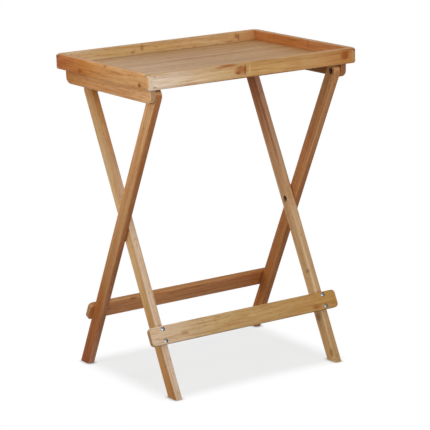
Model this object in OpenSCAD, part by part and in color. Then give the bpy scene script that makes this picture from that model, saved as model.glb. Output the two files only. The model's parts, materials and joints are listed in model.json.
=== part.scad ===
// Folding tray table in laminated bamboo.
// Two pairs of legs cross like scissors. The tray is hinged to the front tops of the outer legs, and its
// back rests on a round bar between the tops of the inner legs. To fold the table, the tray is lifted off
// that bar and the legs are closed.
// X runs along the tray's long side, -Y is the front and Z is up. The origin is on the floor, under the
// middle of the tray.

/* [Tray] */
// Width of the tray, over its side walls
tray_w = 500; // [420:1:600]
// Depth of the tray, over its front and back walls
tray_d = 355; // [330:1:420]
// Height of the tray's rim above the floor
table_h = 660; // [610:1:720]
// Height of the tray's walls
wall_h = 31; // [26:0.5:40]
// Thickness of the tray's walls
wall_t = 12; // [10:0.5:15]
// Easing of the walls' long edges
wall_edge_r = 2; // [1:0.1:3]
// Rounding of the tray's outer corners, seen from above
corner_r = 5; // [3.5:0.5:8]
// Rounding of those corners' tops, seen from the side
tip_r = 7; // [4:0.5:9]
// Rounding of those corners' feet, seen from the side
base_r = 4; // [3:0.5:6]
// Height of the side walls' tongue, which goes through the front and back walls
tongue_h = 21; // [14:0.5:22]
// Thickness of the panel
panel_t = 6; // [5:0.5:8]
// Depth of the rebate along the panel's edges, which leaves its tongue
panel_step = 1; // [0.5:0.5:2]
// Height of the panel's underside above the lower edge of the walls
panel_lift = 3.5; // [2:0.5:5]
// Depth of the groove that holds the panel in each wall
groove = 5; // [3:0.5:7]

/* [Rails] */
// Thickness of the rails under the tray
rail_t = 13; // [12.5:0.5:18]
// How far the rails reach below the walls
rail_drop = 30; // [26:0.5:40]
// Distance from the tray's side to the rail's outer face
rail_inset = 13.5; // [13:0.5:30]
// Distance from the rail's end to the front or back of the tray
rail_end = 15; // [12.5:0.5:20]
// Rounding of the rails' lower corners
rail_r = 15; // [5:0.5:18]

/* [Legs] */
// Width of a leg, seen from the side
leg_w = 28.5; // [24:0.5:32]
// Thickness of a leg, seen from the front
leg_t = 15; // [14.5:0.5:20]
// Easing of the legs' edges
leg_edge_r = 2; // [1:0.1:4]
// Height of the legs' crossing above the floor
cross_h = 321.5; // [290:0.5:345]
// Distance from the front of the tray to its hinge
pivot_setback = 31; // [29:1:45]
// Gap between two wooden parts at a pivot
pivot_gap = 0.8; // [0.7:0.1:2]

/* [Stretchers] */
// Height of a stretcher's board, along the leg
stretcher_h = 38; // [32:0.5:50]
// Thickness of a stretcher
stretcher_t = 11.5; // [9:0.5:16]
// Rounding of a stretcher's corners
stretcher_r = 8; // [3:0.5:12]
// How far a stretcher reaches past the outer faces of the outer legs
stretcher_over = 8.5; // [2:0.5:12]
// Distance from the foot to the middle of the stretcher, along the leg
stretcher_rise = 126; // [90:1:160]
// Distance between the two screws in one end of a stretcher
stretcher_pitch = 24.5; // [18:0.5:25]

/* [Cross bar and catches] */
// Diameter of the bar between the tops of the inner legs
bar_d = 12; // [10:0.5:14]
// Distance from the back of the tray to the middle of the bar
bar_setback = 49.5; // [42:0.5:60]
// Depth of the bar's blind hole in each inner leg
bar_bite = 10; // [8:0.5:12]
// Clearance between the bar and its seat in the catches
seat_clear = 0.3; // [0.3:0.05:0.6]
// Thickness of a catch
catch_t = 18; // [14:0.5:24]
// Reach of a catch in front of the bar's middle
catch_front = 20; // [18:0.5:28]
// Thickness of a catch behind the bar
catch_back = 16; // [14:0.5:24]
// Reach of a catch below the bar's middle
catch_below = 8; // [4:0.5:12]
// Gap between a catch and the inner leg beside it
catch_gap = 3; // [1:0.5:10]

/* [Fastenings] */
// Diameter of the pivot bolts
bolt_d = 6; // [5:0.5:7]
// Diameter of the bolts' heads
bolt_head_d = 11; // [10:0.5:12]
// Height of the bolts' heads
bolt_head_h = 3; // [2:0.5:3.5]
// Depth of the counterbore round a bolt's head
bolt_sink = 7; // [5.5:0.5:8]
// Radial clearance of the bolts in the legs that turn on them
run_clear = 0.05; // [0.02:0.01:0.1]
// Outer diameter of the threaded inserts
insert_d = 8.5; // [8:0.5:10]
// Length of the threaded inserts
insert_l = 10; // [8:0.5:11]
// Diameter of the screws' shanks
screw_d = 4; // [3:0.5:4.5]
// Diameter of the screws' heads
screw_head_d = 8; // [6.5:0.5:8]
// Height of the screws' heads
screw_head_h = 2.4; // [1.5:0.1:3]
// Length of screw in the leg behind a stretcher
screw_bite = 17; // [12:1:20]
// Wood left between a screw's head and the panel, in the rails and catches
under_grip = 15; // [12:0.5:18]
// Distance between the screws along a rail
rail_screw_pitch = 115; // [80:1:130]

/* [Hidden] */
$fn = 48;

// Clearances and small sizes that the real table shares between pieces
fold_gap = 2;        // between the legs and the walls when the tray lies along the legs
swing_clear = 1.5;   // between the inner legs' tops and the panel as the legs close
face_clear = 0.3;    // between two faces that turn past each other
washer_t = 1;
washer_rim = 0.5;    // a washer's reach past the bolt's head
sink_clear = 0.5;    // round a washer or a screw's head in its counterbore
screw_sink = 3;      // depth of the counterbore in the stretchers
panel_bite = 4;      // length of screw in the panel
blind_clear = 0.5;   // hollow left at the end of a blind hole
thread_clear = 0.05; // between a bolt and its insert
pin_d = 2;
pin_sink = 0.5;      // from the back of the leg to the bar's pin
panel_gap = 0.4;     // between the walls and the panel above its tongue
rail_edge_r = 3;     // easing of the rails' edges
board_edge_r = 1.8;  // easing of the stretchers' edges
tip_lap = 0.15;      // how far a rounded tip's circle passes the corner's outermost line
catch_r = 5;         // rounding of the catches' lower corners
cut = 1;             // how far a cutting shape passes the face that it opens

// Heights and places in the tray
wall_z = table_h - wall_h;
panel_z = wall_z + panel_lift;
inner_w = tray_w - 2 * wall_t;
inner_d = tray_d - 2 * wall_t;
tongue_z = wall_z + (wall_h - tongue_h) / 2;

// Inner faces of the rail, the outer leg and the inner leg, on the right-hand side
rail_x = tray_w / 2 - rail_inset - rail_t;
outer_x = rail_x - pivot_gap - leg_t;
inner_x = outer_x - pivot_gap - leg_t;
catch_x = inner_x - catch_gap - catch_t;

// The tray's hinge, the crossing, and the cross bar
pivot_y = pivot_setback - tray_d / 2;
pivot_z = wall_z - leg_w / 2 - fold_gap;
bar_y = tray_d / 2 - bar_setback;
bar_arm = panel_z - swing_clear - leg_w / 2 - cross_h;

// The legs' lean from upright, which sets the hinge and the bar as far apart as reach: repeated until the
// two arms of the legs above the crossing span it
function lean_for(reach, rise, guess, steps = 20) =
    steps == 0 ? guess : lean_for(reach, rise, asin(reach / (bar_arm + rise / cos(guess))), steps - 1);

lean = lean_for(bar_y - pivot_y, pivot_z - cross_h, 25);
arm = (pivot_z - cross_h) / cos(lean);
cross_y = pivot_y + arm * sin(lean);
bar_z = cross_h + bar_arm * cos(lean);
foot_arm = cross_h / cos(lean);

rail_l = tray_d - 2 * rail_end;
rail_h = rail_drop + panel_lift;
stretcher_l = 2 * (rail_x - pivot_gap + stretcher_over);
stretcher_z = stretcher_rise - foot_arm;
bearing_l = leg_t - bolt_sink;
head_z = -pivot_gap - bearing_l - face_clear - washer_t; // underside of a bolt's head, on its axis
washer_d = bolt_head_d + 2 * washer_rim;
bore_d = bolt_d + 2 * run_clear;
screw_x = inner_x + leg_t / 2;
outer_screw_x = outer_x + leg_t / 2;
seat_r = bar_d / 2 + seat_clear;
catch_screws_y = [bar_y - catch_front / 2, bar_y + seat_r + catch_back / 2];
rail_screws_y = [-1, 0, 1] * rail_screw_pitch;

// ---- shared shapes ----

// Rectangle a by b with round corners
module round_rect(a, b, r) {
    square([a - 2 * r, b], center = true);
    square([a, b - 2 * r], center = true);
    for (x = [-1, 1], y = [-1, 1])
        translate([x * (a / 2 - r), y * (b / 2 - r)]) circle(r);
}

// Disc with an eased rim, its axis along X
module eased_disc(r, t, edge_r) {
    rotate([0, 90, 0]) rotate_extrude() {
        translate([0, -t / 2]) square([r - edge_r, t]);
        translate([0, edge_r - t / 2]) square([r, t - 2 * edge_r]);
        for (z = [-1, 1])
            translate([r - edge_r, z * (t / 2 - edge_r)]) circle(edge_r);
    }
}

// Board with its length along Z, its width along Y and its thickness along X, and every edge eased.
// end_r rounds its corners as seen along X: half of the width makes the ends half-round.
module eased_board(l, w, t, end_r, edge_r) {
    flat = w / 2 - end_r;
    linear_extrude(l - 2 * end_r, center = true) round_rect(t, w, edge_r);
    if (flat > 0)
        rotate([90, 0, 0]) linear_extrude(2 * flat, center = true) round_rect(t, l, edge_r);
    for (y = flat > 0 ? [-flat, flat] : [0], z = [-1, 1])
        translate([0, y, z * (l / 2 - end_r)]) eased_disc(end_r, t, edge_r);
}

// Draws its children on the right and, mirrored, on the left
module both_sides() {
    children();
    mirror([1, 0, 0]) children();
}

// A leg's own frame: Z runs up along the leg from the crossing, and turn is 1 for the outer legs, which
// lean forwards, and -1 for the inner legs, which lean back
module along_leg(turn) {
    translate([0, cross_y, cross_h]) rotate([turn * lean, 0, 0]) children();
}

// ---- tray ----

// What rounding a corner's tip to radius r takes away. X points outwards along the corner's diagonal, from
// the middle of its rounding, and Z is 0 at the tip's level.
module corner_nick(r) {
    translate([corner_r - r + tip_lap, 0, -r]) rotate([90, 0, 0])
        linear_extrude(6 * r, center = true) difference() {
            square(r + cut);
            circle(r);
        }
}

// The block that the walls are cut from, with eased edges and rounded corners
module tray_block() {
    translate([0, 0, wall_z + wall_h / 2]) difference() {
        union() {
            rotate([90, 0, 90]) linear_extrude(tray_w - 2 * corner_r, center = true)
                round_rect(tray_d, wall_h, wall_edge_r);
            rotate([90, 0, 0]) linear_extrude(tray_d - 2 * corner_r, center = true)
                round_rect(tray_w, wall_h, wall_edge_r);
            for (x = [-1, 1], y = [-1, 1])
                translate([x * (tray_w / 2 - corner_r), y * (tray_d / 2 - corner_r)])
                    rotate([0, 90, 0]) eased_disc(corner_r, wall_h, wall_edge_r);
        }
        for (x = [-1, 1], y = [-1, 1])
            translate([x * (tray_w / 2 - corner_r), y * (tray_d / 2 - corner_r)])
                rotate([0, 0, atan2(y, x)]) {
                    translate([0, 0, wall_h / 2]) corner_nick(tip_r);
                    mirror([0, 0, 1]) translate([0, 0, wall_h / 2]) corner_nick(base_r);
                }
    }
}

// The panel's tongue, which also cuts its own groove in the walls
module panel_tongue() {
    translate([-inner_w / 2 - groove, -inner_d / 2 - groove, panel_z])
        cube([inner_w + 2 * groove, inner_d + 2 * groove, panel_t - panel_step]);
}

// What easing the inner rim takes away from a square edge
module rim_nick() {
    difference() {
        square([wall_edge_r, wall_edge_r + cut]);
        translate([wall_edge_r, 0]) circle(wall_edge_r);
    }
}

// The nick, carried round the inner rim: straight along each wall, and turned about each corner
module rim_easing() {
    translate([0, 0, table_h - wall_edge_r]) {
        for (a = [0, 180]) rotate([0, 0, a]) {
            translate([inner_w / 2, 0, 0]) rotate([90, 0, 0])
                linear_extrude(inner_d, center = true) rim_nick();
            translate([0, inner_d / 2, 0]) rotate([90, 0, 90])
                linear_extrude(inner_w, center = true) rim_nick();
        }
        for (x = [-1, 1], y = [-1, 1])
            translate([x * inner_w / 2, y * inner_d / 2, 0]) rotate_extrude() rim_nick();
    }
}

// The tongues' places at the right-hand end of the front and back walls
module tongue_space() {
    for (y = [-1, 1])
        translate([tray_w / 2 - wall_t / 2, y * (tray_d - wall_t) / 2, tongue_z + tongue_h / 2])
            cube([wall_t, wall_t, tongue_h], center = true);
}

// The front wall reaches both sides of the tray, apart from the side walls' tongues
module wall_front() {
    color("#B98A56") difference() {
        intersection() {
            tray_block();
            translate([-tray_w / 2, -tray_d / 2, wall_z]) cube([tray_w, wall_t, wall_h]);
        }
        both_sides() tongue_space();
        rim_easing();
        panel_tongue();
    }
}

module wall_back() {
    mirror([0, 1, 0]) wall_front();
}

// A side wall stands between the front and back walls, and its tongues go through them
module wall_right() {
    color("#A9683A") difference() {
        intersection() {
            tray_block();
            union() {
                translate([inner_w / 2, -inner_d / 2, wall_z]) cube([wall_t, inner_d, wall_h]);
                tongue_space();
            }
        }
        rim_easing();
        panel_tongue();
    }
}

module wall_left() {
    mirror([1, 0, 0]) wall_right();
}

module tray_panel() {
    color("#B39573") difference() {
        union() {
            panel_tongue();
            translate([panel_gap - inner_w / 2, panel_gap - inner_d / 2, panel_z])
                cube([inner_w - 2 * panel_gap, inner_d - 2 * panel_gap, panel_t]);
        }
        both_sides() {
            rail_screw_holes();
            catch_screw_holes();
        }
    }
}

// ---- rails ----

module rail_right() {
    color("#A9713D") difference() {
        translate([rail_x + rail_t / 2, 0, panel_z + rail_r / 2 - rail_h / 2])
            rotate([90, 0, 0]) eased_board(rail_l, rail_h + rail_r, rail_t, rail_r, rail_edge_r);
        translate([rail_x - cut, -tray_d / 2, panel_z]) cube([rail_t + 2 * cut, tray_d, rail_r + cut]);
        at_tray_hinge() insert_hole();
        rail_screw_holes();
    }
}

module rail_left() {
    mirror([1, 0, 0]) rail_right();
}

// ---- catches ----

// Height of the seat's sloping roof above the bar's middle, at a distance y behind it. The roof touches
// the clearance circle and runs along the bar's first move as the legs close.
function roof_z(y) = (seat_r - sin(lean) * y) / cos(lean);

// Points along an arc about a centre, from one angle to another
function arc(centre, r, from, to, steps = 6) =
    [for (i = [0:steps]) let (a = from + (to - from) * i / steps) centre + r * [cos(a), sin(a)]];

// Side view: a back wall that stops the bar, and a roof that rests on it
module catch_outline() {
    back = bar_y + seat_r + catch_back;
    foot = bar_z - catch_below;
    front = bar_y - catch_front;
    polygon(concat(
        [[bar_y + seat_r, foot], [bar_y + seat_r, bar_z + roof_z(seat_r)]],
        [[front + catch_r, bar_z + roof_z(catch_r - catch_front)]],
        [[front, bar_z + roof_z(-catch_front) + catch_r], [front, panel_z], [back, panel_z]],
        arc([back - catch_r, foot + catch_r], catch_r, 0, -90)));
}

module catch_right() {
    color("#B07C45") difference() {
        translate([catch_x + catch_t / 2, 0, 0]) rotate([90, 0, 90])
            linear_extrude(catch_t, center = true) catch_outline();
        catch_screw_holes();
    }
}

module catch_left() {
    mirror([1, 0, 0]) catch_right();
}

// ---- legs ----

// Blank of a leg that reaches up to top above the crossing, cut level at the floor
module leg_blank(turn, top) {
    low = foot_arm + leg_w;
    intersection() {
        along_leg(turn) translate([0, 0, (top + leg_w / 2 - low) / 2])
            eased_board(top + leg_w / 2 + low, leg_w, leg_t, leg_w / 2, leg_edge_r);
        translate([-leg_t, -tray_d, 0]) cube([2 * leg_t, 2 * tray_d, table_h]);
    }
}

module outer_leg_right() {
    color("#AA7443") difference() {
        translate([outer_x + leg_t / 2, 0, 0]) leg_blank(1, arm);
        at_tray_hinge() bearing_hole();
        at_crossing() insert_hole();
        along_leg(1) rear_screw_spots() screw_space();
    }
}

module outer_leg_left() {
    mirror([1, 0, 0]) outer_leg_right();
}

module inner_leg_right() {
    color("#C4A06E") difference() {
        translate([inner_x + leg_t / 2, 0, 0]) leg_blank(-1, bar_arm);
        at_crossing() bearing_hole();
        along_leg(-1) {
            translate([inner_x - cut, 0, bar_arm]) rotate([0, 90, 0])
                cylinder(d = bar_d, h = bar_bite + blind_clear + cut);
            front_screw_spots() screw_space();
            bar_pin(-cut);
        }
    }
}

module inner_leg_left() {
    mirror([1, 0, 0]) inner_leg_right();
}

// ---- cross bar ----

module cross_bar() {
    color("#BC9460") difference() {
        along_leg(-1) translate([0, 0, bar_arm]) rotate([0, 90, 0])
            cylinder(d = bar_d, h = 2 * (inner_x + bar_bite), center = true);
        both_sides() along_leg(-1) bar_pin(-cut);
    }
}

// Headless pin from the back of the leg, through the bar and on into the leg. It starts at a depth of
// sink, which is below 0 for its hole.
module bar_pin(sink) {
    translate([inner_x + bar_bite / 2, leg_w / 2 - sink, bar_arm]) rotate([90, 0, 0])
        cylinder(d = pin_d, h = leg_w / 2 + bar_d / 2 + pin_d - sink);
}

module cross_bar_pins() {
    color("#B8BBBE") both_sides() along_leg(-1) bar_pin(pin_sink);
}

// ---- stretchers ----

// Places its children at the screws in the right-hand end of a stretcher, with Z along the screw from
// the board's outer face into the leg
module front_screw_spots() {
    for (z = [-1, 1])
        translate([screw_x, -leg_w / 2 - stretcher_t, stretcher_z + z * stretcher_pitch / 2])
            rotate([-90, 0, 0]) children();
}

module rear_screw_spots() {
    for (z = [-1, 1])
        translate([outer_screw_x, leg_w / 2 + stretcher_t, stretcher_z + z * stretcher_pitch / 2])
            rotate([90, 0, 0]) children();
}

module stretcher_board() {
    rotate([90, 0, 90]) eased_board(stretcher_l, stretcher_h, stretcher_t, stretcher_r, board_edge_r);
}

module front_stretcher() {
    color("#BD9860") along_leg(-1) difference() {
        translate([0, -(leg_w + stretcher_t) / 2, stretcher_z]) stretcher_board();
        both_sides() front_screw_spots() screw_space();
    }
}

module rear_stretcher() {
    color("#936440") along_leg(1) difference() {
        translate([0, (leg_w + stretcher_t) / 2, stretcher_z]) stretcher_board();
        both_sides() rear_screw_spots() screw_space();
    }
}

module front_stretcher_screws() {
    color("#C3C6C9") along_leg(-1) both_sides() front_screw_spots() stretcher_screw();
}

module rear_stretcher_screws() {
    color("#C3C6C9") along_leg(1) both_sides() rear_screw_spots() stretcher_screw();
}

// ---- screws ----

// Pan-head screw along Z, with the underside of its head at 0 and a cross recess in it
module screw(l) {
    slot_w = screw_head_d / 7;
    slot_l = screw_head_d * 0.6;
    tip = screw_d;
    difference() {
        translate([0, 0, -screw_head_h]) cylinder(d = screw_head_d, h = screw_head_h);
        translate([0, 0, -screw_head_h]) {
            cube([slot_l, slot_w, screw_head_h], center = true);
            cube([slot_w, slot_l, screw_head_h], center = true);
        }
    }
    cylinder(d = screw_d, h = l - tip);
    translate([0, 0, l - tip]) cylinder(d1 = screw_d, d2 = screw_d / 5, h = tip);
}

module stretcher_screw() {
    translate([0, 0, screw_sink]) screw(stretcher_t - screw_sink + screw_bite);
}

// What a stretcher's screw needs: its counterbore, and its hole through the board into the leg
module screw_space() {
    translate([0, 0, -cut]) cylinder(d = screw_head_d + 2 * sink_clear, h = screw_sink + cut);
    cylinder(d = screw_d, h = stretcher_t + screw_bite + blind_clear);
}

// Places its children under the panel, on the right-hand side, with Z along the screw and the underside
// of its head at 0
module rail_screw_spots() {
    for (y = rail_screws_y)
        translate([rail_x + rail_t / 2, y, panel_z - under_grip]) children();
}

module catch_screw_spots() {
    for (y = catch_screws_y)
        translate([catch_x + catch_t / 2, y, panel_z - under_grip]) children();
}

// Counterbore from below, and a hole on into the panel
module under_screw_hole() {
    translate([0, 0, -table_h / 4]) cylinder(d = screw_head_d + 2 * sink_clear, h = table_h / 4);
    cylinder(d = screw_d, h = under_grip + panel_bite + blind_clear);
}

module rail_screw_holes() {
    rail_screw_spots() under_screw_hole();
}

module catch_screw_holes() {
    catch_screw_spots() under_screw_hole();
}

module rail_screws() {
    color("#B8BBBE") both_sides() rail_screw_spots() screw(under_grip + panel_bite);
}

module catch_screws() {
    color("#B8BBBE") both_sides() catch_screw_spots() screw(under_grip + panel_bite);
}

// ---- pivots ----

// Place their children on a pivot's axis, with Z pointing outwards and 0 on the face of the part that
// holds the insert. The leg that turns on the bolt lies below 0, past the pivot gap.
module at_tray_hinge() {
    translate([rail_x, pivot_y, pivot_z]) rotate([0, 90, 0]) children();
}

module at_crossing() {
    translate([outer_x, cross_y, cross_h]) rotate([0, 90, 0]) children();
}

// Tube of inner diameter bore_d, from z to z + h
module ring(d, bore_d, z, h) {
    translate([0, 0, z]) difference() {
        cylinder(d = d, h = h);
        translate([0, 0, -cut]) cylinder(d = bore_d, h = h + 2 * cut);
    }
}

module insert_hole() {
    translate([0, 0, -cut]) cylinder(d = insert_d, h = insert_l + blind_clear + cut);
}

// Running hole for the bolt, and the counterbore for its head
module bearing_hole() {
    translate([0, 0, -pivot_gap - leg_t - cut]) cylinder(d = bore_d, h = leg_t + 2 * cut);
    translate([0, 0, -pivot_gap - leg_t - cut])
        cylinder(d = washer_d + 2 * sink_clear, h = bolt_sink + cut);
}

module pivot_bolt() {
    translate([0, 0, head_z]) cylinder(d = bolt_d, h = insert_l - blind_clear - head_z);
    translate([0, 0, head_z - bolt_head_h]) difference() {
        cylinder(d = bolt_head_d, h = bolt_head_h);
        translate([0, 0, -cut]) cylinder(d = bolt_d * 0.75, h = bolt_head_h * 0.6 + cut, $fn = 6);
    }
}

module pivot_washer() {
    ring(washer_d, bore_d, head_z, washer_t);
}

module pivot_spacer() {
    ring(washer_d, bore_d, face_clear - pivot_gap, pivot_gap - face_clear);
}

module pivot_insert() {
    ring(insert_d, bolt_d + 2 * thread_clear, 0, insert_l);
}

module tray_hinge_bolts() {
    color("#A8ABAF") both_sides() at_tray_hinge() pivot_bolt();
}

module tray_hinge_washers() {
    color("#B8BBBE") both_sides() at_tray_hinge() pivot_washer();
}

module tray_hinge_spacers() {
    color("#D8D4C8") both_sides() at_tray_hinge() pivot_spacer();
}

module tray_hinge_inserts() {
    color("#B59A4A") both_sides() at_tray_hinge() pivot_insert();
}

module crossing_bolts() {
    color("#A8ABAF") both_sides() at_crossing() pivot_bolt();
}

module crossing_washers() {
    color("#B8BBBE") both_sides() at_crossing() pivot_washer();
}

module crossing_spacers() {
    color("#D8D4C8") both_sides() at_crossing() pivot_spacer();
}

module crossing_inserts() {
    color("#B59A4A") both_sides() at_crossing() pivot_insert();
}

tray_panel();
wall_front();
wall_back();
wall_left();
wall_right();
rail_left();
rail_right();
rail_screws();
catch_left();
catch_right();
catch_screws();
tray_hinge_bolts();
tray_hinge_washers();
tray_hinge_spacers();
tray_hinge_inserts();
outer_leg_left();
outer_leg_right();
rear_stretcher();
rear_stretcher_screws();
crossing_bolts();
crossing_washers();
crossing_spacers();
crossing_inserts();
inner_leg_left();
inner_leg_right();
front_stretcher();
front_stretcher_screws();
cross_bar();
cross_bar_pins();
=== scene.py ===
import json
import math

import bpy
import numpy as np
from mathutils import Matrix, Vector


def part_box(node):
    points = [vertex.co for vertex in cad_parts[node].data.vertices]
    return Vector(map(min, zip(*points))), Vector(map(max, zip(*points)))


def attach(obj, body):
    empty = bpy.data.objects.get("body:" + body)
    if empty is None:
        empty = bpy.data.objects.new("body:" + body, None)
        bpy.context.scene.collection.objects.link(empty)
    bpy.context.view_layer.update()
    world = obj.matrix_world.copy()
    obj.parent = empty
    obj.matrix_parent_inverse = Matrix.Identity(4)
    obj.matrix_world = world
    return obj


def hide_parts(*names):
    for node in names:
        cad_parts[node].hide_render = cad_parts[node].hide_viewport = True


# Folding tray table in laminated bamboo: a box-jointed tray on two pairs of crossed legs. The wooden parts and
# the washers, inserts, spacers and pins keep their frame shapes. The screws and bolts are built here.

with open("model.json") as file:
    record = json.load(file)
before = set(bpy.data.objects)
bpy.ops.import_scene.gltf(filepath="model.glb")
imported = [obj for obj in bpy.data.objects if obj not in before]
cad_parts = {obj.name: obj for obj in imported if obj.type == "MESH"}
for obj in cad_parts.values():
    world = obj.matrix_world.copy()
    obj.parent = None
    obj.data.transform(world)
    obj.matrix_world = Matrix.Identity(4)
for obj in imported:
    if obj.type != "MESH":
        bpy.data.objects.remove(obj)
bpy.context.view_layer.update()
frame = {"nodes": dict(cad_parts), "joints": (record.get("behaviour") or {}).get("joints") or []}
nodes = frame["nodes"]
scene = bpy.context.scene
scene.view_settings.view_transform = "Standard"
print("frame loaded:", len(nodes), "nodes")

mm = 0.001


def tone(code):
    # sRGB hex to the linear colour that a socket takes
    parts = [int(code[i:i + 2], 16) / 255 for i in (1, 3, 5)]
    return [c / 12.92 if c <= 0.04045 else ((c + 0.055) / 1.055) ** 2.4 for c in parts] + [1]


def addNode(tree, kind, inputs=None, **settings):
    # one shader node, with its settings, and each input given as a value or as a node or socket to link
    node = tree.nodes.new("ShaderNode" + kind)
    for key, value in settings.items():
        setattr(node, key, value)
    for key, value in (inputs or {}).items():
        free = [s for s in node.inputs if s.enabled]
        socket = free[key] if isinstance(key, int) else next(s for s in free if s.name == key)
        if isinstance(value, bpy.types.Node):
            value = next(s for s in value.outputs if s.enabled)
        if isinstance(value, bpy.types.NodeSocket):
            tree.links.new(value, socket)
        else:
            socket.default_value = value
    return node


def newMaterial(name):
    # an empty material and its node tree
    material = bpy.data.materials.new(name)
    material.use_nodes = True
    material.node_tree.nodes.clear()
    return material, material.node_tree


def dress(material, *names):
    # the material goes into every slot of these frame nodes
    for name in names:
        data = nodes[name].data
        data.materials.clear()
        data.materials.append(material)


# Finish shared by every bamboo part, with sizes in mm. A tint such as streak multiplies the part's own tone,
# its plural is its strength, and its Noise is the range of noise values over which it comes in. A Blend is the
# range of cosines over which a surface takes the tones of a face or a cut end. A face's tones are painted light
# and shade, set for how a face that points that way is lit. A bundle of bamboo fibres is about 0.5 mm wide and
# a glue line 0.1 mm. Both are too fine to show, so threads, dashes, pores and glue lines are drawn coarser.
bambooFinish = {
    "origin": (0, 0, 0), "turn": 0,      # start of the part's own axes, and their degrees about X
    "stripDark": (0.90, 0.87, 0.84, 1), "stripPale": (1.08, 1.09, 1.10, 1),
    "shift": 0.5, "scatter": 40,         # of the strips by a share of one, and of their noise
    "sway": 4.0, "swayLong": 190, "swayWide": 26,
    "streak": (0.84, 0.70, 0.53, 1), "streaks": 0.9, "streakWide": 4.2, "streakLong": 75,
    "thread": (1.18, 1.24, 1.32, 1), "threads": 0.7, "threadWide": 2.4, "threadLong": 48,
    "dash": (0.74, 0.58, 0.42, 1), "dashes": 0.8, "dashWide": 1.6, "dashLong": 14,
    "pore": (0.74, 0.66, 0.56, 1), "pores": 0.8, "poreWide": 1.6,
    "streakNoise": (0.42, 0.70), "threadNoise": (0.50, 0.72),
    "dashNoise": (0.66, 0.78), "poreNoise": (0.45, 0.70),
    "glue": (0.82, 0.74, 0.66, 1), "glues": 0.5, "glueWide": 0.7,
    "knuckle": (0.80, 0.70, 0.58, 1), "knuckles": 0.35, "knuckleWide": 5, "knuckleCore": 0.5, "joint": 250,
    "faces": [], "faceLightBlend": (0.5, 0.9), "endBlend": (0.72, 0.95),
    "marks": [], "markCore": 0.25, "wobble": 3, "wobbleWide": 6.25,
    "rough": 0.45, "roughSpread": 0.12, "specular": 0.08, "ior": 1.5, "coat": 0.02, "coatRough": 0.25,
    "bump": 0.25, "bumpDeep": 0.15,
}


def alongTones(tree, along, tones):
    # colour that changes along the fibres, from (place in mm, sRGB hex) pairs
    first, last = tones[0][0], tones[-1][0]
    part = addNode(tree, "MapRange", {"Value": along, "From Min": first, "From Max": last})
    colours = addNode(tree, "ValToRGB", {0: part})
    stops = colours.color_ramp.elements
    stops.remove(stops[1])
    stops[0].position, stops[0].color = 0, tone(tones[0][1])
    for at, code in tones[1:]:
        stops.new((at - first) / (last - first)).color = tone(code)
    return colours


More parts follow.
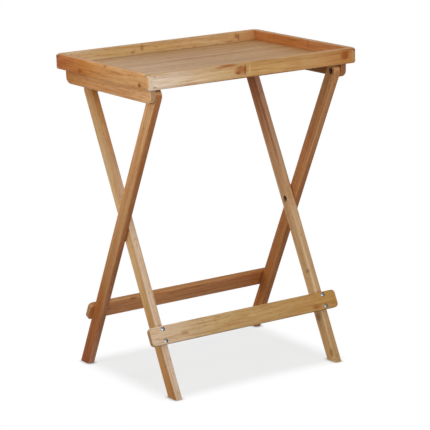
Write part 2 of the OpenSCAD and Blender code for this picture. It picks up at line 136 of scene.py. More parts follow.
def bamboo(name, look):
    # Laminated bamboo planed, sanded and sprayed with clear satin lacquer. To the eye: strips of slightly
    # different tone glued side by side, long reddish streaks and pale threads along the fibres, short dark
    # dashes where the vessels are cut, a darker bar at each knuckle, dotted cut ends, and a soft sheen.
    # A look's axes are those along the fibres, across the strips and through the board. Its strip is the width
    # and thickness of one.
    s = {**bambooFinish, **look}
    material, tree = newMaterial(name)

    def add(kind, inputs=None, **settings):
        return addNode(tree, kind, inputs, **settings)

    turn = math.radians(s["turn"])
    coords = add("TexCoord")
    place = add("Mapping", {"Vector": coords.outputs["Object"], "Location": [c * mm for c in s["origin"]],
                            "Rotation": (turn, 0, 0), "Scale": (mm, mm, mm)}, vector_type="TEXTURE")
    split = add("SeparateXYZ", {0: place})
    along, across, through = (split.outputs["XYZ".index(a)] for a in s["axes"])

    # slow wandering of the fibres
    straight = add("CombineXYZ", {0: along, 1: across, 2: through})
    slow = add("VectorMath", {0: straight, 1: (1 / s["swayLong"], 1 / s["swayWide"], 1 / s["swayWide"])},
               operation="MULTIPLY")
    slow = add("VectorMath", {0: slow, 1: (s["seed"], 0, 0)})
    wander = add("TexNoise", {"Vector": slow, "Scale": 1, "Detail": 1})
    wander = add("Math", {0: wander, 1: 0.5}, operation="SUBTRACT")
    across = add("Math", {0: wander, 1: s["sway"], 2: across}, operation="MULTIPLY_ADD")

    # strips, each with its own random numbers
    stripWide, stripThick = s["strip"]
    stripAcross = add("Math", {0: across, 1: 1 / stripWide, 2: s["shift"]}, operation="MULTIPLY_ADD")
    stripThrough = add("Math", {0: through, 1: 1 / stripThick, 2: 0.5}, operation="MULTIPLY_ADD")
    cell = add("CombineXYZ", {0: add("Math", {0: stripAcross}, operation="FLOOR"),
                              1: add("Math", {0: stripThrough}, operation="FLOOR"), 2: s["seed"]})
    chance = add("TexWhiteNoise", {"Vector": cell}, noise_dimensions="3D")
    lanes = add("CombineXYZ", {0: along, 1: across, 2: through})
    shuffle = add("VectorMath", {0: chance.outputs["Color"], 1: [s["scatter"]] * 3}, operation="MULTIPLY")

    def lengthways(wide, long, detail):
        # noise drawn out along the fibres, of features this wide and this long in mm
        scaled = add("VectorMath", {0: lanes, 1: (1 / long, 1 / wide, 1 / wide)}, operation="MULTIPLY")
        own = add("VectorMath", {0: scaled, 1: shuffle})
        return add("TexNoise", {"Vector": own, "Scale": 1, "Detail": detail})

    def stain(under, over, value, low, high, most, blend="MULTIPLY"):
        # a colour laid over another, by an amount that rises smoothly from 0 at low to most at high
        amount = add("MapRange", {"Value": value, "From Min": low, "From Max": high, "To Max": most},
                     interpolation_type="SMOOTHSTEP")
        return add("Mix", {"Factor": amount, "A": under, "B": over}, data_type="RGBA", blend_type=blend)

    def facing(axis):
        # how nearly the surface faces along an axis of the part
        turned = Matrix.Rotation(turn, 3, "X") @ Vector(axis)
        cosine = add("VectorMath", {0: coords.outputs["Normal"], 1: turned}, operation="DOT_PRODUCT")
        return cosine.outputs["Value"]

    # colour, from the broad to the fine: each listed facing takes tones of its own, painted light and shade
    streak = lengthways(s["streakWide"], s["streakLong"], 2)
    thread = lengthways(s["threadWide"], s["threadLong"], 1)
    dash = lengthways(s["dashWide"], s["dashLong"], 0)
    base = alongTones(tree, along, s["tones"])
    for axis, tones in s["faces"]:
        base = stain(base, alongTones(tree, along, tones), facing(axis), *s["faceLightBlend"], 1, "MIX")
    strips = add("Mix", {"Factor": chance.outputs["Value"], "A": s["stripDark"], "B": s["stripPale"]},
                 data_type="RGBA")
    colour = add("Mix", {"Factor": 1, "A": base, "B": strips}, data_type="RGBA", blend_type="MULTIPLY")
    colour = stain(colour, s["streak"], streak, *s["streakNoise"], s["streaks"])
    colour = stain(colour, s["thread"], thread, *s["threadNoise"], s["threads"])
    colour = stain(colour, s["dash"], dash, *s["dashNoise"], s["dashes"])

    # glue lines between the strips
    edge = add("Math", {0: stripAcross, 1: 0.5}, operation="PINGPONG")
    fromEdge = add("Math", {0: edge, 1: stripWide}, operation="MULTIPLY")
    glueLine = add("MapRange", {"Value": fromEdge, "From Min": s["glueWide"], "From Max": 0,
                                "To Max": s["glues"]}, interpolation_type="SMOOTHSTEP")
    colour = add("Mix", {"Factor": glueLine, "A": colour, "B": s["glue"]}, data_type="RGBA",
                 blend_type="MULTIPLY")

    # a knuckle crosses each strip at its own place, once in a joint's length
    phase = add("Math", {0: along, 1: 1 / s["joint"], 2: chance.outputs["Value"]}, operation="MULTIPLY_ADD")
    phase = add("Math", {0: phase, 1: 0.5}, operation="PINGPONG")
    fromKnuckle = add("Math", {0: phase, 1: s["joint"]}, operation="MULTIPLY")
    colour = stain(colour, s["knuckle"], fromKnuckle, s["knuckleWide"], s["knuckleCore"], s["knuckles"])

    # cut ends: paler or darker than the faces, and dotted by the vessels
    endwards = facing([1 if a == s["axes"][0] else 0 for a in "XYZ"])
    endwards = add("Math", {0: endwards}, operation="ABSOLUTE")
    fine = add("VectorMath", {0: place, 1: [1 / s["poreWide"]] * 3}, operation="MULTIPLY")
    dots = add("TexNoise", {"Vector": fine, "Scale": 1, "Detail": 0})
    endColour = stain(tone(s["endTone"]), s["pore"], dots, *s["poreNoise"], s["pores"])
    colour = stain(colour, endColour, endwards, *s["endBlend"], 1, "MIX")

    # Named marks: soft ellipsoids of another tone, which lie over the cut ends too. Each is given as its centre
    # and half sizes in mm, its sRGB hex and its strength, and a 1 after those keeps its outline from wobbling.
    if any(len(mark) == 4 for mark in s["marks"]):      # where an outline wobbles
        ripple = add("VectorMath", {0: place, 1: [1 / s["wobbleWide"]] * 3}, operation="MULTIPLY")
        ripple = add("TexNoise", {"Vector": ripple, "Scale": 1, "Detail": 2})
        shaken = add("VectorMath", {0: ripple.outputs["Color"], 1: [2 * s["wobble"]] * 3, 2: place},
                     operation="MULTIPLY_ADD")
        shaken = add("VectorMath", {0: shaken, 1: [s["wobble"]] * 3}, operation="SUBTRACT")
    for at, size, code, strength, *still in s["marks"]:
        spot = add("Mapping", {"Vector": place if still else shaken, "Location": at, "Scale": size},
                   vector_type="TEXTURE")
        outwards = add("VectorMath", {0: spot}, operation="LENGTH").outputs["Value"]
        colour = stain(colour, tone(code), outwards, 1, s["markCore"], strength, "MIX")

    # the lacquer sinks a little into the fibres and glue lines
    sunk = add("Math", {0: glueLine, 1: dash}, operation="ADD")
    relief = add("Math", {0: thread, 1: sunk}, operation="SUBTRACT")
    bump = add("Bump", {"Height": relief, "Strength": s["bump"], "Distance": s["bumpDeep"] * mm})
    rough = add("Math", {0: streak, 1: s["roughSpread"], 2: s["rough"] - s["roughSpread"] / 2},
                operation="MULTIPLY_ADD")
    surface = add("BsdfPrincipled", {"Base Color": colour, "Roughness": rough, "Normal": bump, "IOR": s["ior"],
                                     "Specular IOR Level": s["specular"], "Coat Weight": s["coat"],
                                     "Coat Roughness": s["coatRough"]})
    add("OutputMaterial", {"Surface": surface})
    return material


# Places in mm, in the frame's axes: X to the right, Y to the back, Z up. The hinge and the crossing come from
# the frame's joints, and the legs' lean from upright follows from them.
joints = {joint["name"]: [c / mm for c in joint["pos_m"]] for joint in frame["joints"]}
crossing, trayHinge = joints["leg_fold"], joints["tray_lift"]
lean = math.degrees(math.atan2(crossing[1] - trayHinge[1], trayHinge[2] - crossing[2]))
upwards, forwards = (0, 0, 1), (0, -1, 0)


def sides(name):
    # lowest and highest X of a frame node, in mm
    return [corner.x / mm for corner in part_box(name)]


# Each part's tones along its length and on its faces are set to how it looks where it stands in this light, so
# besides its own colour they hold painted light and shade; the notes at the parts say where it is strongest.
frontWall = {
    # painted sheen: the tones pale towards the left end stand in for light glancing off the face there
    "tones": [(-240, "#ECD6C1"), (-120, "#D8B88F"), (0, "#C79B62"), (120, "#C89C68"), (240, "#B77D46")],
    "faces": [(upwards, [(-240, "#C29C6C"), (0, "#BE9565"), (240, "#BA9064")])], "endTone": "#CDA777",
    "axes": "XZY", "strip": (16, 30), "seed": 3, "sway": 5, "shift": 0.35,
    "joint": 257, "knuckles": 0, "glues": 0.25, "dashes": 0.4,
    "marks": [
        [(-34, -177, 645), (20, 9, 13), "#A5602E", 0.75],           # knuckle with its swirl
        [(-25, -177, 646), (3.6, 9, 15), "#8A431C", 0.95],
        [(-43, -177, 641), (10, 9, 4), "#8A4720", 0.8],
        [(-37, -177, 652), (9, 9, 3), "#9A5527", 0.7],
        [(-66, -177, 658), (27, 9, 4.5), "#A5622C", 0.85],
        [(-86, -177, 655), (16, 9, 2.5), "#B07038", 0.6],
        [(-14, -177, 646), (3, 9, 15), "#DDB47C", 0.6],
        [(221, -177, 647), (15, 9, 14), "#98541F", 0.9],            # knuckle near the right end
        [(226, -177, 648), (4.5, 9, 13), "#8A461C", 0.5],
        [(0, -177.5, 629), (262, 6, 3), "#8E4A22", 0.8, 1],         # painted shade along the lower arris
        [(-236, -177.5, 634.6), (7, 3, 2.2), "#A06C4C", 0.8, 1],    # joint lines beside the left tongue, darkened further as painted shade in the joint's gaps
        [(-235, -177.5, 655), (5, 3, 2.2), "#B8906C", 0.6, 1],
        [(248, -177, 655.5), (7, 8, 4.2), "#43210F", 1, 1],         # painted shade in the open corner of the right joint
    ],
}
dress(bamboo("lacqueredBambooFrontWall", frontWall), "wall_front")

backWall = {
    "tones": [(-240, "#DBC6A2"), (-120, "#CCAC7A"), (0, "#C9A36F"), (120, "#CDAC7D"), (240, "#CB9A64")],
    "faces": [(upwards, [(-240, "#C4A274"), (240, "#BC9468")])], "endTone": "#C59A68",
    "axes": "XZY", "strip": (15, 30), "seed": 8, "knuckles": 0, "glues": 0.3,
    "marks": [
        [(-49, 165, 652), (6, 9, 10), "#9C6233", 0.6],              # knuckles on the inner face
        [(-72, 165, 644), (10, 9, 4), "#94572C", 0.55],
        [(191, 165, 652), (9, 9, 8), "#94582B", 0.6],
        [(196, 165, 648), (2.5, 9, 11), "#7C431F", 0.6],
        [(170, 165, 641), (14, 9, 2.2), "#8C5129", 0.5],
        [(-250, 172.5, 655), (8, 7, 4.2), "#3A1C0C", 1, 1],         # painted shade in the open corner of the left joint
        [(-250, 177, 636), (3, 3, 6), "#5A2E1C", 0.6, 1],           # its seam lower down
    ],
}
dress(bamboo("lacqueredBambooBackWall", backWall), "wall_back")

leftWall = {
    "tones": [(-165, "#E6B278"), (-55, "#E5AF74"), (55, "#D28D46"), (165, "#BF713C")],
    "faces": [(upwards, [(-165, "#C69A64"), (165, "#B07C4A")])], "endTone": "#EAD4BC",
    "axes": "YZX", "strip": (12, 30), "seed": 5, "joint": 240, "knuckles": 0.25, "streaks": 1,
    "marks": [
        [(-250, 80, 636), (9, 14, 6), "#A3501C", 0.8],              # knuckles
        [(-250, -146, 637), (9, 8, 6), "#8E441C", 0.9],
        [(-250, -19, 659), (9, 9, 6), "#B06A34", 0.7],
        [(-250, 20, 640), (9, 40, 3), "#A8622E", 0.6],              # red streaks
        [(-250, -60, 650), (9, 34, 3), "#B87440", 0.6],
        [(-250, 120, 650), (9, 45, 3), "#9C521E", 0.6],
        [(-250, 172, 654.5), (8, 7, 4), "#3A1C0C", 1, 1],           # painted shade in the open corner of the back joint
    ],
}
dress(bamboo("lacqueredBambooLeftWall", leftWall), "wall_left")

rightWall = {
    "tones": [(-110, "#C98E5E"), (30, "#BF7D45"), (165, "#C6814B")],
    "faces": [(upwards, [(-165, "#B68A5C"), (165, "#BC9264")])], "endTone": "#BE915F",
    "axes": "YZX", "strip": (14, 30), "seed": 11, "joint": 230, "knuckles": 0,
    "marks": [
        [(238, -30, 652), (9, 3, 14), "#8A4C25", 0.6],              # knuckle on the inner face
        [(249, -177, 655), (6, 8, 3.6), "#43210F", 1, 1],           # painted shade in the open corner of the front joint
    ],
}
dress(bamboo("lacqueredBambooRightWall", rightWall), "wall_right")

panel = {
    "tones": [(-220, "#C8AA8A"), (0, "#B38F67"), (220, "#B78F62")], "endTone": "#A87C4C",
    "axes": "XYZ", "strip": (21, 30), "seed": 2, "sway": 3, "knuckles": 0.4, "glues": 0.2,
    "streakWide": 7, "streakLong": 210, "dashWide": 2.0, "dashLong": 22, "rough": 0.5,
    "marks": [
        [(83, 133, 638), (9, 4, 3), "#6E4527", 0.8],                # knuckles
        [(122, 79, 638), (12, 3, 3), "#7A4C2A", 0.7],
    ],
}
dress(bamboo("lacqueredBambooTrayPanel", panel), "tray_panel")

leftRail = {
    "tones": [(-165, "#EFBC88"), (-55, "#DBA671"), (55, "#DBA168"), (165, "#BA7939")], "endTone": "#BF9D80",
    "axes": "YZX", "strip": (13, 30), "seed": 14, "sway": 3, "shift": 0.2, "knuckles": 0.3,
}
dress(bamboo("lacqueredBambooLeftRail", leftRail), "rail_left")

rightRail = {**leftRail, "tones": [(-150, "#BC8048"), (150, "#B07A48")], "endTone": "#9C6C4A", "seed": 17}
dress(bamboo("lacqueredBambooRightRail", rightRail), "rail_right")

catches = {**leftRail, "seed": 19}
dress(bamboo("lacqueredBambooCatches", catches), "catch_left", "catch_right")


def legEdgeLightAndShade(name, pale, dark, upper=None):
    # Painted light along the front edges of a leg, in its own axes: a painted highlight along the left one and
    # painted shade along the right one. Above the crossing the left one may take a painted tone of its own for
    # the light there, and its highlight then ends there. Whole, below and above are the middle and half length
    # of a stretch.
    left, right = sides(name)
    front, whole, below, above = -14.2, (0, 345), (-170, 210), (175, 190)

    def edge(x, stretch, wide, deep, code, strength):
        middle, half = stretch
        return [(x, front, middle), (wide, deep, half), code, strength, 1]

    edges = [edge(left, below if upper else whole, 4.5, 6, pale, 0.6), edge(right, whole, 4.5, 8, dark, 0.5)]
    if upper:
        edges.append(edge(left, above, 3.4, 4.5, upper, 0.7))
    return edges


# A leg's own axes start at the crossing, with Z up along the leg
# Outer left leg: its tones darken towards the foot as painted shade, and its front face, which leans downwards,
# takes painted face tones for the light that it gets.
outerLegLeft = {
    "tones": [(-345, "#A15D31"), (-180, "#B2753D"), (0, "#CE9B69"), (165, "#D8A26E"), (315, "#EABA85")],
    "faces": [(forwards, [(-345, "#C68E6F"), (0, "#A9724C"), (315, "#B2784E")])], "endTone": "#A07850",
    "axes": "ZYX", "strip": (9, 14), "seed": 21, "sway": 1.5, "origin": crossing, "turn": lean,
    "streakWide": 3.0, "streakLong": 90, "specular": 0.05,
    "marks": legEdgeLightAndShade("outer_leg_left", "#C89A68", "#7C5036"),
}
dress(bamboo("lacqueredBambooOuterLegLeft", outerLegLeft), "outer_leg_left")

outerLegRight = {
    **outerLegLeft, "seed": 24,
    "tones": [(-345, "#CD8448"), (-180, "#BB7B48"), (0, "#D3935C"), (165, "#D18D5B"), (315, "#EFB57D")],
    "faces": [(forwards, [(-345, "#B3794B"), (0, "#A26A46"), (315, "#BD895E")])],
    "marks": legEdgeLightAndShade("outer_leg_right", "#B98556", "#70452C", "#D2A874"),
}
dress(bamboo("lacqueredBambooOuterLegRight", outerLegRight), "outer_leg_right")

# Inner left leg: its pale, pinkish front-face tones are a painted sheen on that upward-leaning face, and its
# tones towards the top are painted shade under the tray.
innerLegLeft = {
    **outerLegLeft, "seed": 27, "turn": -lean,
    "tones": [(-345, "#BD864F"), (-180, "#CB9F6A"), (0, "#E4BC89"), (165, "#D9B487"), (315, "#CA9458")],
    "faces": [(forwards, [(-345, "#D2BAA5"), (0, "#E1C7AB"), (315, "#E29948")])],
    "marks": legEdgeLightAndShade("inner_leg_left", "#DDC8AC", "#B08A6C", "#C79E6A"),
}
dress(bamboo("lacqueredBambooInnerLegLeft", innerLegLeft), "inner_leg_left")

# Inner right leg: its tones darken towards the top as painted shade under the tray, and its arris above the
# crossing takes a dark painted tone too.
innerLegRight = {
    **innerLegLeft, "seed": 31,
    "tones": [(-345, "#E6BA83"), (-180, "#E5BD8A"), (0, "#E8BC8E"), (165, "#D19970"), (315, "#AB623B")],
    "faces": [(forwards, [(-345, "#B7976C"), (0, "#D0AD86"), (315, "#C6957D")])],
    "marks": [
        *legEdgeLightAndShade("inner_leg_right", "#E2CCA6", "#86552F", "#8E5C3A"),
        [(192, -7, -163), (6, 11, 6), "#9A6638", 0.6],              # knuckles on the inner side
        [(192, 2, -262), (6, 13, 13), "#7E4E2C", 0.55],
        [(192, -8, -341), (6, 8, 13), "#8A5A30", 0.6],
    ],
}
dress(bamboo("lacqueredBambooInnerLegRight", innerLegRight), "inner_leg_right")

# The stretchers lean with the legs that they join, so their marks are in those legs' axes
frontStretcher = {
    "tones": [(-220, "#D6BDA1"), (-75, "#C1A171"), (75, "#BC9865"), (220, "#B3864A")], "endTone": "#AF8657",
    "axes": "XZY", "strip": (19, 12), "seed": 33, "origin": crossing, "turn": -lean,
    "joint": 270, "knuckles": 0.2,
    "marks": [
        [(-152, -25, -237), (13, 6, 6), "#9A6233", 0.6],            # knuckles on the front
        [(176, -25, -243), (17, 6, 7), "#945828", 0.75],
    ],
}
dress(bamboo("lacqueredBambooFrontStretcher", frontStretcher), "front_stretcher")

rearStretcher = {
    **frontStretcher, "seed": 36, "turn": lean,
    "tones": [(-220, "#CF9265"), (-75, "#D19565"), (75, "#C3885C"), (220, "#BB7745")],
    "faces": [(upwards, [(-220, "#B88A5C"), (220, "#A4703C")])],
    "marks": [[(-128, 13, -216), (12, 6, 7), "#7A4526", 0.6]],
}
dress(bamboo("lacqueredBambooRearStretcher", rearStretcher), "rear_stretcher")

crossBar = {**frontStretcher, "seed": 39, "strip": (40, 40), "marks": []}
dress(bamboo("lacqueredBambooCrossBar", crossBar), "cross_bar")
print("bamboo dressed")


def fitting(name, look, roughSpread=0.14):
    # Plated, turned or moulded small part: one tone, clouded by a noise in tone and roughness. The real texture
    # is about 0.1 mm, too fine to show, so each grain (in mm) is coarser.
    material, tree = newMaterial(name)
    coords = addNode(tree, "TexCoord")
    cloud = addNode(tree, "TexNoise", {"Vector": coords.outputs["Object"], "Scale": 1 / (look["grain"] * mm),
                                       "Detail": 3})
    colour = addNode(tree, "Mix", {"Factor": cloud, "A": tone(look["dark"]), "B": tone(look["pale"])},
                     data_type="RGBA")
    rough = addNode(tree, "Math", {0: cloud, 1: roughSpread, 2: look["rough"] - roughSpread / 2},
                    operation="MULTIPLY_ADD")
    surface = addNode(tree, "BsdfPrincipled", {"Base Color": colour, "Roughness": rough,
                                               "Metallic": look["metallic"]})
    addNode(tree, "OutputMaterial", {"Surface": surface})
    return material


# Blue-passivated zinc plating on pressed steel: steel blue to pale grey, softly clouded
zincLook = {"dark": "#6A8098", "pale": "#B2C0CC", "grain": 2.0, "rough": 0.32, "metallic": 1}
zinc = fitting("zincPlatedSteel", zincLook)
dress(zinc, "tray_hinge_washers", "crossing_washers", "cross_bar_pins")

# Dark steel for the pivot bolts, a brown-grey with a dull bloom, made dark also as painted shade for the deep
# holes that they sit in
holeShadeSteelLook = {"dark": "#3A2F28", "pale": "#574A40", "grain": 2.0, "rough": 0.45, "metallic": 1}
holeShadeSteel = fitting("darkSteelAndHoleShade", holeShadeSteelLook)

# Turned brass thread inserts: warm yellow, satin
brassLook = {"dark": "#B08D4E", "pale": "#CDAE6C", "grain": 1.5, "rough": 0.36, "metallic": 1}
dress(fitting("turnedBrass", brassLook), "tray_hinge_inserts", "crossing_inserts")

# Moulded nylon spacers: milky off-white with a faint mould texture
nylonLook = {"dark": "#DAD7CC", "pale": "#E8E6DE", "grain": 1.0, "rough": 0.48, "metallic": 0}
dress(fitting("mouldedNylon", nylonLook), "tray_hinge_spacers", "crossing_spacers")


def turnedMesh(name, radius, height, places):
    # A fastener turned about its axis: radius and height are grids [ring, angle] in mm, closed at both ends
    # by a pole. A point is (radius cos a, radius sin a, height). Each place, a 4x4 matrix in m, gets a copy.
    rings, steps = radius.shape
    angle = np.arange(steps) * 2 * np.pi / steps
    points = np.stack([radius * np.cos(angle), radius * np.sin(angle), height], -1).reshape(-1, 3)
    poles = [[0, 0, height[0].mean()], [0, 0, height[-1].mean()]]
    points = np.vstack([points, poles])
    ring, step = np.meshgrid(np.arange(rings - 1), np.arange(steps), indexing="ij")
    here, beside = ring * steps + step, ring * steps + (step + 1) % steps
    quads = np.stack([here, beside, beside + steps, here + steps], -1).reshape(-1, 4)
    first, last = np.arange(steps), (rings - 1) * steps + np.arange(steps)
    fans = np.vstack([np.stack([np.roll(first, -1), first, np.full(steps, rings * steps)], -1),
                      np.stack([last, np.roll(last, -1), np.full(steps, rings * steps + 1)], -1)])
    spots = np.array([np.array(place) for place in places])
    whole = np.einsum("nij,kj->nki", spots[:, :3, :3], points * mm) + spots[:, None, :3, 3]
    shift = np.arange(len(places))[:, None, None] * len(points)
    faces = (quads + shift).reshape(-1, 4).tolist() + (fans + shift).reshape(-1, 3).tolist()
    mesh = bpy.data.meshes.new(name)
    mesh.from_pydata(whole.reshape(-1, 3).tolist(), [], faces)
    mesh.update()
    piece = bpy.data.objects.new(name, mesh)
    scene.collection.objects.link(piece)
    return piece


def socketEdge(angle, points, arm=0.27):
    # Distance from the axis to a socket's edge, for a size of 1: a plus for 4 points, a hexagon for 6. The plus
    # is the farther of two crossed bars, and a bar's edge is the nearer of its end and its side. The arm is a
    # bar's half width.
    if points == 6:
        return 1 / np.cos((angle + np.pi / 6) % (np.pi / 3) - np.pi / 6)
    across, down = np.maximum(abs(np.cos(angle)), 1e-6), np.maximum(abs(np.sin(angle)), 1e-6)
    return np.maximum(np.minimum(1 / across, arm / down), np.minimum(1 / down, arm / across))


def fastener(look, steps=48, domeRings=12, turnRings=6):
    # Grids of a screw or bolt, head upwards from its seat at 0. Rings run from the socket's floor up its wall,
    # over the domed head (height falls as the root of 1 - (r / R)^2.6), down its side and along the shank,
    # where the radius dips by the thread's cut once a turn, at a height that climbs one pitch a turn.
    angle = np.arange(steps) * 2 * np.pi / steps
    head, shank, end = look["head"] / 2, look["shank"] / 2, look["length"]
    floorHeight, side = look["tall"] - look["deep"], look["tall"] - look["dome"]
    power, eased, tip = 2.6, 0.15, 0.15      # of the dome, the rim's bevel in mm, the tip's share of the shank
    socket = socketEdge(angle, look["points"]) * look["socket"]
    outwards = np.sin(np.linspace(0.02, 1, domeRings) * np.pi / 2)[:, None]      # closer rings towards the rim
    top = socket * (1 - outwards) + head * outwards
    crown = side + look["dome"] * np.sqrt(np.clip(1 - (top / head) ** power, 0, 1))
    wallHeight = floorHeight + (crown[0] - floorHeight) * np.array([[0.0], [0.06], [0.94]])
    wall = socket * np.array([[0.95], [1.0], [1.0]])      # eased where it meets the floor
    collar = np.array([[head, side * 0.5], [head, eased], [head - eased, 0],
                       [shank, 0], [shank, -look["plain"]]])
    depth = np.arange(look["plain"], end, look["pitch"] / turnRings)[:, None]
    ridge = abs((depth / look["pitch"] + angle / (2 * np.pi)) % 1 - 0.5) * 2
    fade = np.clip(np.minimum((depth - look["plain"]) / look["pitch"], (end - depth) / look["pitch"]), 0, 1)
    thread = (shank - look["cut"] * fade * (1 - ridge)) * np.clip((end - depth) / look["taper"], tip, 1)
    radius = np.vstack([socket * 0.3, wall, top, collar[:, :1] + 0 * angle, thread])
    height = np.vstack([floorHeight + 0 * angle, wallHeight + 0 * angle, crown, collar[:, 1:] + 0 * angle,
                        -depth + 0 * angle])
    return radius, height


def standing(axis, at, turn=0):
    # Matrix that sets a fastener with its seat at a place in mm and its head along an axis. With a turn of 1 or
    # -1 both are in an outer or inner leg's own axes, Z along the leg and up from the crossing.
    leg = Matrix.Rotation(math.radians(turn * lean), 4, "X")
    if turn:
        leg = Matrix.Translation(Vector(crossing) * mm) @ leg
    return leg @ Matrix.Translation(Vector(at) * mm) @ Vector(axis).to_track_quat("Z", "Y").to_matrix().to_4x4()


def fit(name, look, material, body, places, sharpFrom=38):
    # A set of equal fasteners on one body stands for the frame node of the same name. Edges of more degrees
    # than sharpFrom stay sharp.
    piece = turnedMesh(name + "_made", *fastener(look), places)
    piece.data.materials.append(material)
    piece.data.shade_smooth()
    piece.data.set_sharp_from_angle(angle=math.radians(sharpFrom))
    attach(piece, body)
    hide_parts(name)


def midX(name):
    # middle of a right-hand part's thickness
    return sum(sides(name)) / 2


# Pan-head screws with a cross recess, sizes in mm
panHead = {"points": 4, "head": 8.0, "tall": 2.4, "dome": 1.3, "socket": 2.1, "deep": 1.6, "shank": 4.0,
           "pitch": 1.8, "cut": 0.6, "taper": 4.0}

# Two go through each end of a stretcher into a leg. Their seats are this far out from the leg's middle and this
# far apart along it, about a point this rise up the leg from the floor.
stretcherScrew = {**panHead, "plain": 8.0, "length": 25.4, "out": 22.75, "apart": 24.5, "rise": 126}
screwMiddle = stretcherScrew["rise"] - crossing[2] / math.cos(math.radians(lean))
for name, turn, leg, body in (("front_stretcher_screws", -1, "inner_leg_right", "inner_frame"),
                              ("rear_stretcher_screws", 1, "outer_leg_right", "outer_frame")):
    fit(name, stretcherScrew, zinc, body,
        [standing((0, turn, 0), (side * midX(leg), turn * stretcherScrew["out"],
                                 screwMiddle + up * stretcherScrew["apart"] / 2), turn)
         for side in (-1, 1) for up in (-1, 1)])

# Shorter ones go up through the rails and the catches into the panel, from seats this far below it, in rows
# across the table
underScrew = {**panHead, "plain": 5.0, "length": 18.9, "below": 15,
              "rows": {"rail": (-115, 0, 115), "catch": (118, 142.3)}}
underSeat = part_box("tray_panel")[0].z / mm - underScrew["below"]
for board, rows in underScrew["rows"].items():
    fit(board + "_screws", underScrew, zinc, "tray",
        [standing((0, 0, -1), (side * midX(board + "_right"), y, underSeat)) for side in (-1, 1) for y in rows])

# Button-head bolts with a hexagon socket, heads towards the middle of the table, sunk this far into a leg
pivotBolt = {"points": 6, "head": 11.0, "tall": 3.0, "dome": 1.9, "socket": 1.75, "deep": 1.9, "shank": 6.0,
             "plain": 11.0, "length": 19.6, "pitch": 1.0, "cut": 0.35, "taper": 0.8, "sunk": 5.7}
for name, leg, centre, body in (("crossing_bolts", "inner_leg_right", crossing, "outer_frame"),
                                ("tray_hinge_bolts", "outer_leg_right", trayHinge, "tray")):
    seat = sides(leg)[0] + pivotBolt["sunk"]
    # the dark steel also paints the shade of the bolts' deep holes
    fit(name, pivotBolt, holeShadeSteel, body,
        [standing((-side, 0, 0), (side * seat, centre[1], centre[2])) for side in (-1, 1)])
print("fittings ready")


def seenRays(tree):
    # 1 for a ray that comes from the camera, a reflection or a clear body, and 0 for light on its way elsewhere
    rays = addNode(tree, "LightPath").outputs
    seen = addNode(tree, "Math", {0: rays["Is Camera Ray"], 1: rays["Is Glossy Ray"]}, operation="MAXIMUM")
    return addNode(tree, "Math", {0: seen, 1: rays["Is Transmission Ray"]}, operation="MAXIMUM")


# Studio floor of seamless matt paper, with sizes in m. It keeps a soft shadow within a rounded rectangle around
# the feet, given by its half sizes and the fade beyond it, and is plain white farther out. Within the contact's
# distance of a foot a painted contact shadow, from an ambient occlusion test, darkens it towards contactWhite.
# Bounce is the grey of the light that it throws back.
stageLook = {"reach": 30.0, "half": (0.186, 0.133, 0), "fade": 0.062, "white": 0.652, "carry": 0.20,
             "bounce": "#504E4B", "contact": 0.010, "contactDark": 1.5, "contactWhite": 0.25}
reach = stageLook["reach"]
corners = [(-reach, -reach, 0), (reach, -reach, 0), (reach, reach, 0), (-reach, reach, 0)]
floorMesh = bpy.data.meshes.new("studioFloor")
floorMesh.from_pydata(corners, [], [(0, 1, 2, 3)])
floor = bpy.data.objects.new("studioFloor", floorMesh)
scene.collection.objects.link(floor)

paper, tree = newMaterial("seamlessPaper")
carried = addNode(tree, "BsdfDiffuse", {"Color": [stageLook["carry"]] * 3 + [1]})
glow = addNode(tree, "Emission", {"Color": (1, 1, 1, 1), "Strength": stageLook["white"]})
shaded = addNode(tree, "AddShader", {0: glow, 1: carried})
plainWhite = addNode(tree, "Emission", {"Color": (1, 1, 1, 1), "Strength": 1})
coords = addNode(tree, "TexCoord")
beyond = addNode(tree, "VectorMath", {0: coords.outputs["Object"]}, operation="ABSOLUTE")
beyond = addNode(tree, "VectorMath", {0: beyond, 1: stageLook["half"]}, operation="SUBTRACT")
beyond = addNode(tree, "VectorMath", {0: beyond, 1: (0, 0, 0)}, operation="MAXIMUM")
beyond = addNode(tree, "VectorMath", {0: beyond}, operation="LENGTH").outputs["Value"]
far = addNode(tree, "MapRange", {"Value": beyond, "From Max": stageLook["fade"]},
              interpolation_type="SMOOTHSTEP")
shaded = addNode(tree, "MixShader", {0: far, 1: shaded, 2: plainWhite})
# painted contact shadow: the paper darkens towards contactWhite where the feet and legs close it in
openness = addNode(tree, "AmbientOcclusion", {"Distance": stageLook["contact"]}, samples=16).outputs["AO"]
touch = addNode(tree, "Math", {0: openness, 1: -stageLook["contactDark"], 2: stageLook["contactDark"]},
                operation="MULTIPLY_ADD")
contactShadow = addNode(tree, "Emission", {"Strength": stageLook["contactWhite"]})
shaded = addNode(tree, "MixShader", {0: touch, 1: shaded, 2: contactShadow})
thrownBack = addNode(tree, "BsdfDiffuse", {"Color": tone(stageLook["bounce"])})
surface = addNode(tree, "MixShader", {0: seenRays(tree), 1: thrownBack, 2: shaded})
addNode(tree, "OutputMaterial", {"Surface": surface})
floor.data.materials.append(paper)

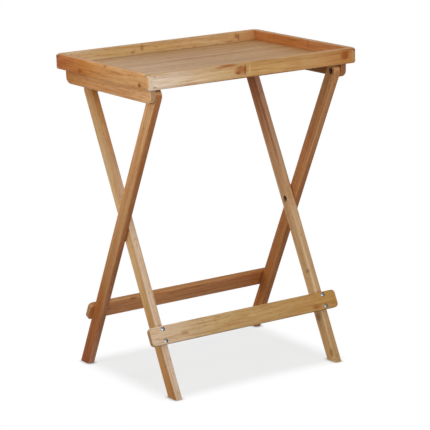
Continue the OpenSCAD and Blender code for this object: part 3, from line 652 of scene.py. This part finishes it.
# White surroundings: full white where they are seen, and a softer fill on the table
worldFill = 0.62
world = bpy.data.worlds.new("studio")
world.use_nodes = True
scene.world = world
tree = world.node_tree
tree.nodes.clear()
fill = addNode(tree, "Background", {"Color": (1, 1, 1, 1), "Strength": worldFill})
white = addNode(tree, "Background", {"Color": (1, 1, 1, 1), "Strength": 1})
surface = addNode(tree, "MixShader", {0: seenRays(tree), 1: fill, 2: white})
addNode(tree, "OutputWorld", {"Surface": surface})

# Round soft lamps aimed at the middle of the table: place and width in m, power in W
lamps = {
    "leftLow": {"at": (-3.8, 0.0, 1.1), "size": 2.0, "power": 42},
    "front": {"at": (0.0, -4.2, 1.2), "size": 2.6, "power": 75},
    "right": {"at": (4.0, 0.0, 1.6), "size": 2.6, "power": 30},
    "backHigh": {"at": (0.0, 3.4, 3.2), "size": 2.6, "power": 34},
    "overFloor": {"at": (0.0, 0.0, 9.0), "size": 0.3, "power": 620},      # lights the paper alone
}
aim = Vector((0, 0, 0.35))
for name, lamp in lamps.items():
    data = bpy.data.lights.new(name, "AREA")
    data.shape, data.size, data.energy = "DISK", lamp["size"], lamp["power"]
    light = bpy.data.objects.new(name, data)
    light.location = lamp["at"]
    light.rotation_euler = (aim - light.location).to_track_quat("-Z", "Y").to_euler()
    scene.collection.objects.link(light)
    if name == "overFloor":
        light.light_linking.receiver_collection = bpy.data.collections.new("paperOnly")
        light.light_linking.receiver_collection.objects.link(floor)

# Camera: place and sight in m, angles in degrees, lens and sensor in mm
eye = {"at": (-2.23467, -3.37135, 1.29896), "yaw": -33.703, "pitch": -13.676, "roll": -1.362, "lens": 167.79,
       "sensor": 36.0, "sight": 100}
cameraData = bpy.data.cameras.new("camera")
cameraData.sensor_width, cameraData.lens, cameraData.clip_end = eye["sensor"], eye["lens"], eye["sight"]
camera = bpy.data.objects.new("camera", cameraData)
yaw, pitch, roll = (math.radians(eye[k]) for k in ("yaw", "pitch", "roll"))
camera.matrix_world = (Matrix.Translation(eye["at"]) @ Matrix.Rotation(yaw, 4, "Z")
                       @ Matrix.Rotation(math.pi / 2 + pitch, 4, "X") @ Matrix.Rotation(roll, 4, "Z"))
scene.collection.objects.link(camera)
scene.camera = camera
print("stage, lights and camera ready")
